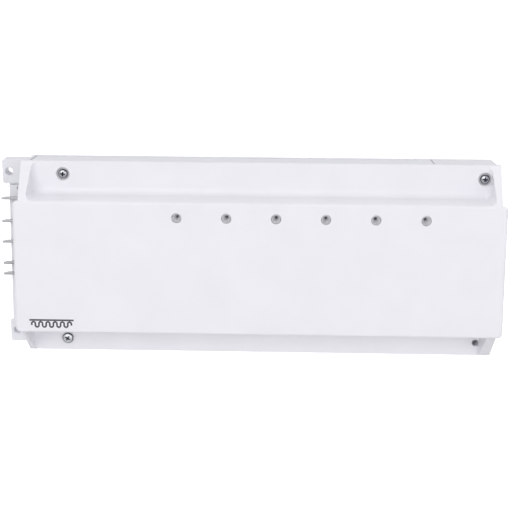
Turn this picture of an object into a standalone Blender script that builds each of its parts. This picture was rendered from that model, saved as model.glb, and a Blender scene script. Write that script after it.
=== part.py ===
"""Six-zone wiring centre for underfloor heating: housing, cover, electronics and rail catches.

The frame is in metres. +X points right, +Y into the wall and +Z up, and the wall is y = 0.
Every dimension below is in millimetres and is scaled once, when a shape becomes a mesh.
"""
from math import atan2, cos, pi, sin

import bmesh
import bpy
from mathutils import Matrix, Vector

MM = 0.001
GAP = 0.3                      # air between two touching pieces

# Housing (rear tray)
HALF_WIDTH = 124.6
BACK_HALF_HEIGHT = 51.3        # the top and bottom walls open out towards the front
RIM_HALF_HEIGHT = 52.0
RIM_DEPTH = 20.9
WALL = 2.2
HOUSING_CORNER = 2.0
SIDE_INNER = HALF_WIDTH - WALL
TOP_INNER = BACK_HALF_HEIGHT - WALL + 0.6

# Left end: bus flange and wall-fixing ears
FLANGE_LEFT = -135.7
FLANGE_TOP, FLANGE_BOTTOM = 37.0, -40.2
FLANGE_FACE = 11.2             # depth of its face, measured square to the panel
EAR_LEFT = -139.0
EAR_THICKNESS = 8.2
EAR_HALF_HEIGHT = 6.5
EAR_HOLE_X = -135.3
EAR_HOLE_RADIUS = 2.1
EAR_HEIGHTS = (43.3, -46.7)    # the two wall holes are 90 mm apart
INNER_HOLE_X = 100.0           # wall holes inside the right end of the housing

# Front cover
COVER_HALF_WIDTH = 125.1
COVER_HALF_HEIGHT = 52.2
LEDGE_DEPTH = 23.4             # depth of the recessed ledges above and below the panel
LEDGE_THICKNESS = 2.2
LEDGE_FILLET = 3.5
SIDE_DRAFT = 0.08
TOP_LEDGE_X = (-120.4, 121.2)
BOTTOM_LEDGE_X = (-122.0, 118.6)
PANEL_TOP = (42.9, 34.8)       # depth and height of the panel's upper edge
PANEL_BOTTOM = (48.8, -33.7)
PANEL_THICKNESS = 2.6
PANEL_HALF_WIDTH = 126.1
PANEL_CORNER = 2.2
PANEL_EDGE = 1.4
COVER_INNER_X = 120.4

TILT = atan2(PANEL_BOTTOM[0] - PANEL_TOP[0], PANEL_TOP[1] - PANEL_BOTTOM[1])

# Screws that hold the cover
SCREWS = {
    "cover_screw_top_left": (-103.3, 45.3),
    "cover_screw_top_right": (116.9, 44.7),
    "cover_screw_bottom_left": (-103.9, -45.3),
}
EMPTY_HOLE = (116.9, -45.2)    # the fourth hole has lost its screw
SCREW_SHANK_RADIUS = 1.45
SCREW_HOLE_RADIUS = 1.8
SCREW_LENGTH = 15.0
SUNK_HEAD_RADIUS, PROUD_HEAD_RADIUS = 2.5, 2.95
SUNK_WELL_RADIUS, SUNK_WELL_DEPTH = 3.4, 1.6
BOSS_RADIUS = 3.4
BOSS_SPLIT_DEPTH = 17.0        # where a cover boss meets a housing boss

# Zone lamps
ZONES = 6
ZONE_PITCH = 25.4
FIRST_ZONE_X = -42.0
LAMP_HEIGHT = 23.2             # along the tilted board
LAMP_RADIUS = 2.5
SLEEVE_RADIUS, SLEEVE_DEPTH = 3.9, 3.6
GUIDE_TIP_RADIUS, GUIDE_TIP_DEPTH = 2.1, 0.7   # the ends of the light guide in those holes
GUIDE_DIMPLE = (1.85, 0.9, 6.0)                # its mouth and floor radius, and its depth
ZONE_X = [FIRST_ZONE_X + ZONE_PITCH * zone for zone in range(ZONES)]

# Circuit board, in the tilted frame: x, depth and height along the board
BOARD_X = (-112.2, 111.5)
BOARD_Z = (-37.0, 33.0)
BOARD_BACK, BOARD_FRONT = 11.4, 13.0
BOARD_POSTS = ((-50.0, 26.0), (100.0, 6.0), (-106.0, 29.0), (-50.0, -33.0), (106.0, -33.0))
SEAT = BOARD_FRONT + GAP       # depth of the underside of every part on the board
POLE_PITCH = 5.08
MAINS_PITCH = 7.5

# Bus blades that link the next module
BLADE_TIP_X, BLADE_ROOT_X = -139.3, -113.5
BLADE_TIP_SLANT = 1.7          # how far the rear corner of a tip is set back
BLADE_DEPTH, BLADE_WIDTH, BLADE_THICKNESS = 13.8, 4.2, 1.2
BLADE_HEIGHTS = (28.3, 15.9, 4.7, -7.0, -12.9)
HEADER_Z = (-16.5, 31.5)

# Cable entry strips in the top and bottom walls
STRIP_X = (-121.0, 91.0)
TOP_STRIP_BACK, BOTTOM_STRIP_BACK = 3.3, 9.2   # the lower one clears the rail catches
STRIP_THICKNESS = 1.7
STRIP_SINK = 0.45
KNOCKOUTS = 16
KNOCKOUT_SIZE = (8.4, 2.0)     # width, and the margin left before and behind
KNOCKOUT_MEMBRANE = 0.6

# Channel for a 35 mm top-hat rail, with its catches
RAIL_CENTRE_Z = -24.0
RAIL_HALF = 17.8
RAIL_DEPTH = 7.7
RAIL_LIP_DEPTH = 6.5
CATCH_X = (-70.0, 70.0)
CATCH_HALF_WIDTH, CATCH_FLANGE_HALF_WIDTH = 6.2, 8.2
CATCH_TOP, CATCH_BOTTOM = -39.9, -50.8


def clear_scene():
    for item in list(bpy.data.objects):
        bpy.data.objects.remove(item, do_unlink=True)


def collection(name):
    made = bpy.data.collections.new(name)
    bpy.context.scene.collection.children.link(made)
    return made


def plastic(name, color, roughness, metallic=0.0):
    """A Principled material with one colour, roughness and metallic value."""
    made = bpy.data.materials.new(name)
    made.use_nodes = True
    shader = made.node_tree.nodes["Principled BSDF"]
    shader.inputs["Base Color"].default_value = (*color, 1.0)
    shader.inputs["Roughness"].default_value = roughness
    shader.inputs["Metallic"].default_value = metallic
    made.diffuse_color = (*color, 1.0)
    return made


class Shape:
    """Gathers primitive solids, in millimetres, into one mesh."""

    AXES = {"x": Vector((1, 0, 0)), "y": Vector((0, 1, 0)), "z": Vector((0, 0, 1))}

    def __init__(self):
        self.mesh = bmesh.new()

    def box(self, low, high):
        size = [top - bottom for bottom, top in zip(low, high)]
        middle = [(top + bottom) / 2 for bottom, top in zip(low, high)]
        place = Matrix.Translation(middle) @ Matrix.Diagonal((*size, 1.0))
        bmesh.ops.create_cube(self.mesh, size=1.0, matrix=place)
        return self

    def cylinder(self, centre, axis, radius, length, segments=16, end_radius=None):
        """A round solid, or a cone if end_radius is given, with its middle at centre."""
        turn = Vector((0, 0, 1)).rotation_difference(self.AXES[axis]).to_matrix().to_4x4()
        place = Matrix.Translation(centre) @ turn
        narrow = radius if end_radius is None else end_radius
        bmesh.ops.create_cone(self.mesh, cap_ends=True, segments=segments, radius1=radius,
                              radius2=narrow, depth=length, matrix=place)
        return self

    def prism(self, outline, left, right):
        """Extrudes an outline of (y, z) points along X."""
        corners = [self.mesh.verts.new((left, y, z)) for y, z in outline]
        face = self.mesh.faces.new(corners)
        grown = bmesh.ops.extrude_face_region(self.mesh, geom=[face])
        moved = [item for item in grown["geom"] if isinstance(item, bmesh.types.BMVert)]
        bmesh.ops.translate(self.mesh, verts=moved, vec=(right - left, 0, 0))
        return self

    def round_edges(self, wanted, radius, segments=3):
        """Rounds the edges for which wanted(start, end) is true."""
        edges = [edge for edge in self.mesh.edges
                 if wanted(edge.verts[0].co, edge.verts[1].co)]
        bmesh.ops.bevel(self.mesh, geom=edges, offset=radius, segments=segments,
                        profile=0.5, affect="EDGES", clamp_overlap=True)
        return self

    def reshape(self, move):
        for vertex in self.mesh.verts:
            vertex.co = move(vertex.co)
        return self

    def build(self, name, group, material=None, parent=None, origin=(0, 0, 0)):
        """Scales to metres and makes the object, with its origin at the given point."""
        bmesh.ops.translate(self.mesh, verts=self.mesh.verts, vec=-Vector(origin))
        bmesh.ops.scale(self.mesh, verts=self.mesh.verts, vec=(MM, MM, MM))
        bmesh.ops.recalc_face_normals(self.mesh, faces=self.mesh.faces)
        data = bpy.data.meshes.new(name)
        self.mesh.to_mesh(data)
        self.mesh.free()
        made = bpy.data.objects.new(name, data)
        made.location = Vector(origin) * MM
        made.parent = parent
        if material:
            data.materials.append(material)
        group.objects.link(made)
        return made


class Workshop:
    """The object's collections, its materials and the frame that leans with the panel."""

    def __init__(self):
        self.parts = collection("underfloor_wiring_centre")
        self.tools = collection("cutters")
        self.board = bpy.data.objects.new("board_frame", None)
        self.board.rotation_euler.x = -TILT
        self.parts.objects.link(self.board)
        self.finish = {
            "shell": plastic("white_abs", (0.84, 0.84, 0.87), 0.45),
            "steel": plastic("zinc_steel", (0.62, 0.62, 0.64), 0.35, 1.0),
            "blade": plastic("tinned_brass", (0.60, 0.59, 0.56), 0.32, 1.0),
            "board": plastic("green_laminate", (0.03, 0.20, 0.08), 0.40),
            "terminal": plastic("green_polyamide", (0.08, 0.34, 0.16), 0.50),
            "mains": plastic("grey_polyamide", (0.30, 0.31, 0.33), 0.50),
            "black": plastic("black_epoxy", (0.03, 0.03, 0.035), 0.45),
            "relay": plastic("blue_relay_case", (0.05, 0.16, 0.42), 0.40),
            "capacitor": plastic("yellow_film_case", (0.70, 0.52, 0.10), 0.45),
            "clear": plastic("clear_acrylic", (0.80, 0.81, 0.82), 0.15),
            "lamp": plastic("red_led_epoxy", (0.50, 0.06, 0.05), 0.25),
            "catch": plastic("grey_acetal", (0.52, 0.53, 0.55), 0.40),
            "fuse": plastic("fuse_glass", (0.70, 0.72, 0.70), 0.15),
        }

    def tool(self, shape, name, parent=None):
        made = shape.build(name, self.tools, parent=parent)
        made.hide_render = True
        made.display_type = "WIRE"
        return made

    def combine(self, target, operation, shape, name, parent=None):
        step = target.modifiers.new(name, "BOOLEAN")
        step.operation = operation
        step.solver = "EXACT"
        step.object = self.tool(shape, f"{target.name}_{name}", parent)

    def add(self, target, shape, name, parent=None):
        self.combine(target, "UNION", shape, name, parent)

    def cut(self, target, shape, name, parent=None):
        self.combine(target, "DIFFERENCE", shape, name, parent)

    def part(self, name, shape, finish, parent=None, origin=(0, 0, 0)):
        return shape.build(name, self.parts, self.finish[finish], parent, origin)


def leaned(depth, height):
    """World (y, z) of a point at a depth and height measured along the tilted board."""
    return (-depth * cos(TILT) + height * sin(TILT), depth * sin(TILT) + height * cos(TILT))


def wall_height(depth, sink=0.0):
    """Height of the housing's top wall at a depth."""
    return BACK_HALF_HEIGHT + (RIM_HALF_HEIGHT - BACK_HALF_HEIGHT) * depth / RIM_DEPTH - sink


def arc(centre, radius, start, end, steps=4):
    """Points on an arc of a (y, z) outline; the angles are in quarter turns."""
    angles = [(start + (end - start) * step / steps) * pi / 2 for step in range(steps + 1)]
    return [(centre[0] + radius * cos(turn), centre[1] + radius * sin(turn)) for turn in angles]


def on_plane(axis, value):
    """A test for edges that lie in the plane axis = value."""
    return lambda start, end: abs(start[axis] - value) < 1e-4 and abs(end[axis] - value) < 1e-4


def along_y(start, end):
    return abs(start.x - end.x) < 1e-4 and abs(start.y - end.y) > 1


# ---------------------------------------------------------------- housing

def housing_shell():
    def open_out(point):
        height = wall_height(-point.y)
        return Vector((point.x, point.y, height if point.z > 0 else -height))

    shape = Shape()
    shape.box((-HALF_WIDTH, -RIM_DEPTH, -1), (HALF_WIDTH, 0, 1))
    shape.reshape(open_out)
    shape.round_edges(lambda start, end: along_y(start, end) or on_plane(1, 0)(start, end),
                      HOUSING_CORNER, 2)
    return shape


def housing_ends():
    """The flange that guards the bus blades, between the two ears."""
    face = [leaned(FLANGE_FACE, height) for height in (FLANGE_TOP, FLANGE_BOTTOM)]
    slope = (face[0][0] - face[1][0]) / (face[0][1] - face[1][1])
    top_face = face[0][0] + slope * (FLANGE_TOP - face[0][1])
    bottom_face = face[0][0] + slope * (FLANGE_BOTTOM - face[0][1])
    root = -HALF_WIDTH + 1.5
    return Shape().prism([(0, FLANGE_TOP + 0.2), (top_face, FLANGE_TOP + 0.2),
                          (bottom_face, FLANGE_BOTTOM - 0.2), (0, FLANGE_BOTTOM - 0.2)],
                         FLANGE_LEFT, root)


def ear(height):
    shape = Shape()
    shape.box((EAR_LEFT, -EAR_THICKNESS, height - EAR_HALF_HEIGHT),
              (-HALF_WIDTH + 1.5, 0, height + EAR_HALF_HEIGHT))
    shape.round_edges(lambda start, end: along_y(start, end) and start.x < EAR_LEFT + 1, 1.2, 2)
    return shape


def bosses():
    shape = Shape()
    length = BOSS_SPLIT_DEPTH - GAP - 1
    for x, z in (*SCREWS.values(), EMPTY_HOLE):
        shape.cylinder((x, -1 - length / 2, z), "y", BOSS_RADIUS, length, 14)
    return shape


def board_posts():
    """Posts under the board, square to it, from just inside the back wall."""
    shape = Shape()
    for x, height in BOARD_POSTS:
        back = (1.5 + height * sin(TILT)) / cos(TILT)
        front = BOARD_BACK - GAP
        shape.cylinder((x, -(back + front) / 2, height), "y", 3.0, front - back, 12)
    return shape


def rail_channel(margin, depth, left, right):
    return Shape().box((left, -depth, RAIL_CENTRE_Z - RAIL_HALF - margin),
                       (right, 1 - 2 * bool(margin), RAIL_CENTRE_Z + RAIL_HALF + margin))


def catch_guides():
    """Blocks inside the housing that take the catches' T-shaped grooves."""
    shape = Shape()
    for x in CATCH_X:
        shape.box((x - 10.4, -8.7, -BACK_HALF_HEIGHT + 0.6), (x + 10.4, -1, -41.0))
    return shape


def catch_grooves(half_width, back, front):
    shape = Shape()
    for x in CATCH_X:
        shape.box((x - half_width, -front, -56), (x + half_width, back, -41.5))
    return shape


def rail_hooks():
    """Fixed lips that hold the rail's upper flange."""
    top = RAIL_CENTRE_Z + RAIL_HALF
    shape = Shape()
    for x in CATCH_X:
        shape.box((x - 8, -RAIL_LIP_DEPTH, top - 2.1), (x + 8, -2.0, top + 1.0))
    return shape


def neighbour_notches(inset, depth):
    """Blocks, or with no inset the notches, that receive the next module's ears."""
    shape = Shape()
    for height in EAR_HEIGHTS:
        low = height - EAR_HALF_HEIGHT - 0.5 - inset
        high = height + EAR_HALF_HEIGHT + 0.5 + inset
        right = HALF_WIDTH + 2 if not inset else HALF_WIDTH - 1.2
        shape.box((HALF_WIDTH - 3.6 - inset, -depth, max(low, -50.6) if inset else low),
                  (right, -1 if inset else 1, min(high, 50.6) if inset else high))
    return shape


def wall_holes():
    shape = Shape()
    for height in EAR_HEIGHTS:
        shape.cylinder((EAR_HOLE_X, -EAR_THICKNESS / 2, height), "y", EAR_HOLE_RADIUS, 20, 20)
        shape.cylinder((INNER_HOLE_X, -2, height), "y", EAR_HOLE_RADIUS, 8, 16)
    return shape


def boss_bores():
    shape = Shape()
    for x, z in (*SCREWS.values(), EMPTY_HOLE):
        shape.cylinder((x, -12, z), "y", SCREW_HOLE_RADIUS, 16, 12)
    return shape


def post_bores():
    shape = Shape()
    for x, height in BOARD_POSTS[:2]:
        shape.cylinder((x, -9.6, height), "y", 1.3, 5.2, 8)
    return shape


def strip_windows():
    left, right = STRIP_X[0] - GAP, STRIP_X[1] + GAP
    shape = Shape()
    shape.box((left, -30, 47), (right, -TOP_STRIP_BACK + GAP, 54))
    shape.box((left, -30, -54), (right, -BOTTOM_STRIP_BACK + GAP, -47))
    return shape


def blade_windows(left, right, spare):
    """Slots for the blades, spare mm wider than them all round."""
    shape = Shape()
    reach, half = BLADE_WIDTH / 2 + spare, BLADE_THICKNESS / 2 + spare
    for height in BLADE_HEIGHTS:
        shape.box((left, -BLADE_DEPTH - reach, height - half),
                  (right, -BLADE_DEPTH + reach, height + half))
    return shape


def make_housing(shop):
    housing = shop.part("rear_housing", housing_shell(), "shell")
    cavity = Shape().box((-SIDE_INNER, -30, -TOP_INNER), (SIDE_INNER, -WALL, TOP_INNER))
    shop.cut(housing, cavity, "cavity")
    shop.add(housing, housing_ends(), "flange")
    shop.add(housing, ear(EAR_HEIGHTS[0]), "upper_ear")
    shop.add(housing, ear(EAR_HEIGHTS[1]), "lower_ear")
    shop.add(housing, rail_channel(1.6, RAIL_DEPTH + 1.6, -SIDE_INNER - 1, SIDE_INNER + 1),
             "rail_bulge")
    shop.add(housing, neighbour_notches(1.6, EAR_THICKNESS + 2.0), "notch_blocks")
    shop.add(housing, bosses(), "bosses")
    shop.add(housing, board_posts(), "board_posts", shop.board)
    shop.add(housing, catch_guides(), "catch_guides")
    shop.cut(housing, rail_channel(0.0, RAIL_DEPTH, -150, 150), "rail_channel")
    shop.cut(housing, catch_grooves(CATCH_HALF_WIDTH + GAP, 1, 4.2), "catch_mouths")
    shop.cut(housing, catch_grooves(CATCH_FLANGE_HALF_WIDTH + GAP, -3.7, 6.8), "catch_grooves")
    shop.add(housing, rail_hooks(), "rail_hooks")
    shop.cut(housing, neighbour_notches(0.0, EAR_THICKNESS + 0.4), "notches")
    shop.cut(housing, wall_holes(), "wall_holes")
    shop.cut(housing, boss_bores(), "boss_bores")
    shop.cut(housing, post_bores(), "post_bores", shop.board)
    shop.cut(housing, strip_windows(), "strip_windows")
    shop.cut(housing, blade_windows(-128, -121, 0.5), "blade_windows", shop.board)
    shop.cut(housing, blade_windows(121, 128, 0.7), "socket_windows", shop.board)
    hollow = Shape().box((-134.0, -6.2, -2.5), (-126.5, 1, 35.2))
    shop.cut(housing, hollow, "flange_hollow")
    return housing


def make_strip(shop, name, side, back):
    """A cable entry strip with thin knock-outs; side is 1 for the top wall, -1 for the bottom."""
    front = RIM_DEPTH - 0.1
    outer = [(-depth, side * wall_height(depth, STRIP_SINK)) for depth in (back, front)]
    inner = [(-depth, side * wall_height(depth, STRIP_SINK + STRIP_THICKNESS))
             for depth in (front, back)]
    strip = shop.part(name, Shape().prism(outer + inner, *STRIP_X), "shell")
    pockets = Shape()
    pitch = (STRIP_X[1] - STRIP_X[0]) / KNOCKOUTS
    width, margin = KNOCKOUT_SIZE
    roof = wall_height(back, STRIP_SINK + KNOCKOUT_MEMBRANE)
    for index in range(KNOCKOUTS):
        x = STRIP_X[0] + pitch * (index + 0.5)
        low, high = sorted((side * 45.0, side * roof))
        pockets.box((x - width / 2, -front + margin, low), (x + width / 2, -back - margin, high))
    shop.cut(strip, pockets, "knockouts")


# ---------------------------------------------------------------- cover

def cover_block():
    """The cover's outer form before its ledges are cut, with drafted sides."""
    outline = [(-LEDGE_DEPTH + LEDGE_THICKNESS, COVER_HALF_HEIGHT),
               (-LEDGE_DEPTH, COVER_HALF_HEIGHT),
               (-PANEL_TOP[0] + 1.0, PANEL_TOP[1] - 0.1),
               (-PANEL_BOTTOM[0] + 1.0, PANEL_BOTTOM[1] + 0.1),
               (-LEDGE_DEPTH, -COVER_HALF_HEIGHT),
               (-LEDGE_DEPTH + LEDGE_THICKNESS, -COVER_HALF_HEIGHT)]

    def draft(point):
        inset = SIDE_DRAFT * (-point.y - (LEDGE_DEPTH - LEDGE_THICKNESS))
        return Vector((point.x - inset if point.x > 0 else point.x + inset, point.y, point.z))

    shape = Shape().prism(outline, -COVER_HALF_WIDTH, COVER_HALF_WIDTH)
    return shape.reshape(draft)


def ledge_cutter(edge, side, left, right):
    """Everything in front of a ledge, with a filleted inner corner."""
    centre = (-LEDGE_DEPTH - LEDGE_FILLET, side * (abs(edge) + LEDGE_FILLET))
    corner = arc(centre, LEDGE_FILLET, 0, -side)
    outline = [(-LEDGE_DEPTH, side * 60), *corner, (-60, edge), (-60, side * 60)]
    return Shape().prism(outline, left, right)


def cover_hollow():
    skin = PANEL_THICKNESS
    top, bottom = PANEL_TOP[1] - LEDGE_THICKNESS, PANEL_BOTTOM[1] + LEDGE_THICKNESS
    slope = (PANEL_BOTTOM[0] - PANEL_TOP[0]) / (PANEL_TOP[1] - PANEL_BOTTOM[1])
    top_y = -(PANEL_TOP[0] + slope * LEDGE_THICKNESS - skin)
    bottom_y = -(PANEL_BOTTOM[0] - slope * LEDGE_THICKNESS - skin)
    outline = [(-15, top), (top_y, top), (bottom_y, bottom), (-15, bottom)]
    return Shape().prism(outline, -COVER_INNER_X, COVER_INNER_X)


def panel_span():
    """The panel's depth and its lowest and highest points, along the tilted board."""
    def height(edge):
        return -edge[0] * sin(TILT) + edge[1] * cos(TILT)
    depth = PANEL_TOP[0] * cos(TILT) + PANEL_TOP[1] * sin(TILT)
    return depth, height(PANEL_BOTTOM), height(PANEL_TOP)


def panel_plate():
    """The front plate, with rounded corners and a soft front edge."""
    depth, bottom, top = panel_span()
    shape = Shape()
    shape.box((-PANEL_HALF_WIDTH, -depth, bottom), (PANEL_HALF_WIDTH, -depth + PANEL_THICKNESS, top))
    shape.round_edges(along_y, PANEL_CORNER, 4)
    shape.round_edges(on_plane(1, -depth), PANEL_EDGE, 3)
    return shape


def lamp_cylinders(radius, front, back, segments):
    shape = Shape()
    for x in ZONE_X:
        shape.cylinder((x, -(front + back) / 2, LAMP_HEIGHT), "y", radius, front - back, segments)
    return shape


def cover_bosses():
    shape = Shape()
    length = LEDGE_DEPTH - 1 - BOSS_SPLIT_DEPTH
    for x, z in (*SCREWS.values(), EMPTY_HOLE):
        shape.cylinder((x, -BOSS_SPLIT_DEPTH - length / 2, z), "y", BOSS_RADIUS + 0.2, length, 14)
    return shape


def cover_tongues():
    """Bars behind the rim that locate the cover inside the housing."""
    back, front = -19.3, -22.3
    shape = Shape()
    shape.box((-97, front, 46.9), (111, back, 48.4))
    shape.box((-97, front, -48.4), (111, back, -46.9))
    shape.box((-122.0, front, -41), (-120.8, back, 41))
    shape.box((120.8, front, -41), (122.0, back, 41))
    return shape


def cover_bores():
    shape = Shape()
    for x, z in (*SCREWS.values(), EMPTY_HOLE):
        shape.cylinder((x, -20, z), "y", SCREW_HOLE_RADIUS, 16, 16)
    return shape


def screw_wells():
    shape = Shape()
    for name in ("cover_screw_top_left", "cover_screw_top_right"):
        x, z = SCREWS[name]
        shape.cylinder((x, -LEDGE_DEPTH, z), "y", SUNK_WELL_RADIUS, 2 * SUNK_WELL_DEPTH, 20)
    return shape


def make_cover(shop):
    cover = shop.part("front_cover", cover_block(), "shell")
    shop.cut(cover, ledge_cutter(PANEL_TOP[1], 1, *TOP_LEDGE_X), "top_ledge")
    shop.cut(cover, ledge_cutter(PANEL_BOTTOM[1], -1, *BOTTOM_LEDGE_X), "bottom_ledge")
    shop.cut(cover, cover_hollow(), "hollow")
    depth = panel_span()[0]
    shop.add(cover, panel_plate(), "panel", shop.board)
    shop.add(cover, lamp_cylinders(SLEEVE_RADIUS, depth - 1, depth - SLEEVE_DEPTH, 16),
             "lamp_sleeves", shop.board)
    shop.add(cover, cover_bosses(), "bosses")
    shop.add(cover, cover_tongues(), "tongues")
    shop.cut(cover, lamp_cylinders(LAMP_RADIUS, depth + 4, depth - 12, 20), "lamp_holes", shop.board)
    shop.cut(cover, cover_bores(), "bores")
    shop.cut(cover, screw_wells(), "wells")
    return cover


def make_cover_screws(shop):
    for name, (x, z) in SCREWS.items():
        sunk = "top" in name
        radius = SUNK_HEAD_RADIUS if sunk else PROUD_HEAD_RADIUS
        seat = LEDGE_DEPTH - SUNK_WELL_DEPTH + GAP if sunk else LEDGE_DEPTH + GAP
        top = seat + 1.7
        shape = Shape().cylinder((x, -(seat + top) / 2, z), "y", radius, top - seat, 20)
        shape.round_edges(on_plane(1, -top), 0.6, 2)
        screw = shop.part(name, shape, "steel", origin=(x, -seat, z))
        shank = Shape().cylinder((x, -seat + SCREW_LENGTH / 2 - 0.5, z), "y",
                                 SCREW_SHANK_RADIUS, SCREW_LENGTH, 12)
        shop.add(screw, shank, "shank")
        cross = Shape().box((x - 1.5, -top - 1, z - 0.35), (x + 1.5, -top + 1.1, z + 0.35))
        shop.cut(screw, cross, "slot")
        cross = Shape().box((x - 0.35, -top - 1, z - 1.5), (x + 0.35, -top + 1.1, z + 1.5))
        shop.cut(screw, cross, "cross_slot")


# ---------------------------------------------------------------- board

def board_part(shop, name, finish, low, high):
    """A part on the board; low and high are (x, depth, height), with depth from the board."""
    shape = Shape().box((low[0], -high[1], low[2]), (high[0], -low[1], high[2]))
    return shop.part(name, shape, finish, shop.board)


def make_board(shop):
    board = board_part(shop, "circuit_board", "board",
                       (BOARD_X[0], BOARD_BACK, BOARD_Z[0]), (BOARD_X[1], BOARD_FRONT, BOARD_Z[1]))
    holes = Shape()
    for x, height in BOARD_POSTS[:2]:
        holes.cylinder((x, -12, height), "y", 1.5, 8, 12)
    shop.cut(board, holes, "screw_holes", shop.board)
    for index, (x, height) in enumerate(BOARD_POSTS[:2], 1):
        shape = Shape().cylinder((x, -SEAT - 1.0, height), "y", 2.6, 2.0, 14)
        screw = shop.part(f"board_screw_{index}", shape, "steel", shop.board)
        shank = Shape().cylinder((x, -SEAT + 2.6, height), "y", 1.0, 6.0, 8)
        shop.add(screw, shank, "shank", shop.board)
        slot = Shape().box((x - 4, -SEAT - 3, height - 0.4), (x + 4, -SEAT - 1.1, height + 0.4))
        shop.cut(screw, slot, "slot", shop.board)


def make_terminal(shop, name, finish, centre, poles, pitch, body, side):
    """A screw terminal block; side is 1 if its wires enter from above, -1 from below."""
    deep, tall, rear = body
    half = poles * pitch / 2 - 0.02
    near, far = sorted((rear, rear + side * tall))
    block = board_part(shop, name, finish, (centre - half, SEAT, near),
                       (centre + half, SEAT + deep, far))
    mouths, wells = Shape(), Shape()
    opening = pitch * 0.33
    for pole in range(poles):
        x = centre + (pole - (poles - 1) / 2) * pitch
        low, high = sorted((rear + side * (tall + 1), rear + side * (tall - 6)))
        mouths.box((x - opening, -SEAT - 5.6, low), (x + opening, -SEAT - 1.6, high))
        wells.cylinder((x, -SEAT - deep, rear + side * tall * 0.42), "y", pitch * 0.32, 5, 10)
    shop.cut(block, mouths, "wire_mouths", shop.board)
    shop.cut(block, wells, "screw_wells", shop.board)


def make_terminals(shop):
    small, mains = (12.0, 11.0), (15.5, 12.5)
    for zone, x in enumerate(ZONE_X, 1):
        make_terminal(shop, f"thermostat_terminal_{zone}", "terminal", x + ZONE_PITCH / 2,
                      4, POLE_PITCH, (*small, 16.5), 1)
        make_terminal(shop, f"actuator_terminal_{zone}", "terminal", x, 4, POLE_PITCH,
                      (*small, -21.5), -1)
    make_terminal(shop, "supply_terminal", "mains", -99.6, 3, MAINS_PITCH, (*mains, -20.0), -1)
    make_terminal(shop, "pump_terminal", "mains", -70.0, 4, MAINS_PITCH, (*mains, -20.0), -1)


def make_power_section(shop):
    board_part(shop, "transformer", "black", (-90, SEAT, -5), (-56, SEAT + 24, 25))
    board_part(shop, "pump_relay", "relay", (-90.0, SEAT, -18), (-70.0, SEAT + 15.5, -8))
    board_part(shop, "boiler_relay", "relay", (-68.2, SEAT, -18), (-48.2, SEAT + 15.5, -8))
    board_part(shop, "filter_capacitor", "capacitor", (-111, SEAT, -4), (-93.5, SEAT + 14, 4))
    holder = board_part(shop, "fuse_holder", "black", (-111.5, SEAT, -17.5), (-90.5, SEAT + 7, -8.5))
    trough = Shape().cylinder((-101, -SEAT - 6.5, -13), "x", 2.9, 30, 12)
    shop.cut(holder, trough, "trough", shop.board)
    fuse = Shape().cylinder((-101, -SEAT - 6.5, -13), "x", 2.5, 20, 12)
    shop.part("fuse", fuse, "fuse", shop.board)
    varistor = Shape().cylinder((-104, -SEAT - 5.4, 12), "z", 5.0, 4.0, 16)
    shop.part("varistor", varistor, "relay", shop.board)
    can = Shape().cylinder((-98, -SEAT - 8, 24), "y", 5.0, 16, 16)
    shop.part("smoothing_capacitor", can, "black", shop.board)


def make_zone_parts(shop):
    board_part(shop, "microcontroller", "black", (-33, SEAT, -8), (-21, SEAT + 1.6, 4))
    for zone, x in enumerate(ZONE_X, 1):
        board_part(shop, f"zone_triac_{zone}", "black",
                   (x - 5.1, SEAT, -17.5), (x + 5.1, SEAT + 15, -13))
        lamp = Shape().cylinder((x, -SEAT - 1.4, LAMP_HEIGHT), "y", 1.5, 2.8, 10)
        shop.part(f"zone_lamp_{zone}", lamp, "lamp", shop.board)


def make_light_guide(shop):
    """A clear bar whose rods carry the lamps' light to the holes in the panel."""
    depth = panel_span()[0]
    bar = board_part(shop, "light_guide", "clear",
                     (ZONE_X[0] - 4, 31, LAMP_HEIGHT - 2), (ZONE_X[-1] + 4, 33, LAMP_HEIGHT + 2))
    rods = lamp_cylinders(1.75, 32, SEAT + 3.1, 10)
    shop.add(bar, rods, "rear_rods", shop.board)
    tips = lamp_cylinders(GUIDE_TIP_RADIUS, depth - GUIDE_TIP_DEPTH, 32, 14)
    shop.add(bar, tips, "front_rods", shop.board)
    mouth, floor, deep = GUIDE_DIMPLE
    front, back = depth - GUIDE_TIP_DEPTH + 0.5, depth - GUIDE_TIP_DEPTH - deep
    dimples = Shape()
    for x in ZONE_X:
        dimples.cylinder((x, -(front + back) / 2, LAMP_HEIGHT), "y", mouth, front - back, 12, floor)
    shop.cut(bar, dimples, "dimples", shop.board)


def make_bus(shop):
    low, high = BLADE_DEPTH - 3.0, BLADE_DEPTH + 3.0
    header = board_part(shop, "bus_header", "black", (-122.0, low, HEADER_Z[0]),
                        (BOARD_X[0] - GAP, high, HEADER_Z[1]))
    shop.cut(header, blade_windows(-130, -110, GAP), "slots", shop.board)
    socket = board_part(shop, "bus_socket", "black", (BOARD_X[1] + GAP, low, HEADER_Z[0]),
                        (122.0, high, HEADER_Z[1]))
    shop.cut(socket, blade_windows(113.5, 130, 0.4), "slots", shop.board)
    for index, height in enumerate(BLADE_HEIGHTS, 1):
        shape = Shape()
        shape.box((BLADE_TIP_X, -BLADE_DEPTH - BLADE_WIDTH / 2, height - BLADE_THICKNESS / 2),
                  (BLADE_ROOT_X, -BLADE_DEPTH + BLADE_WIDTH / 2, height + BLADE_THICKNESS / 2))
        for vertex in shape.mesh.verts:
            if vertex.co.x < BLADE_TIP_X + 1 and vertex.co.y > -BLADE_DEPTH:
                vertex.co.x += BLADE_TIP_SLANT
        shape.round_edges(lambda start, end: abs(start.z - end.z) > 0.1 and start.x < -130,
                          0.5, 1)
        shop.part(f"bus_blade_{index}", shape, "blade", shop.board)


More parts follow.
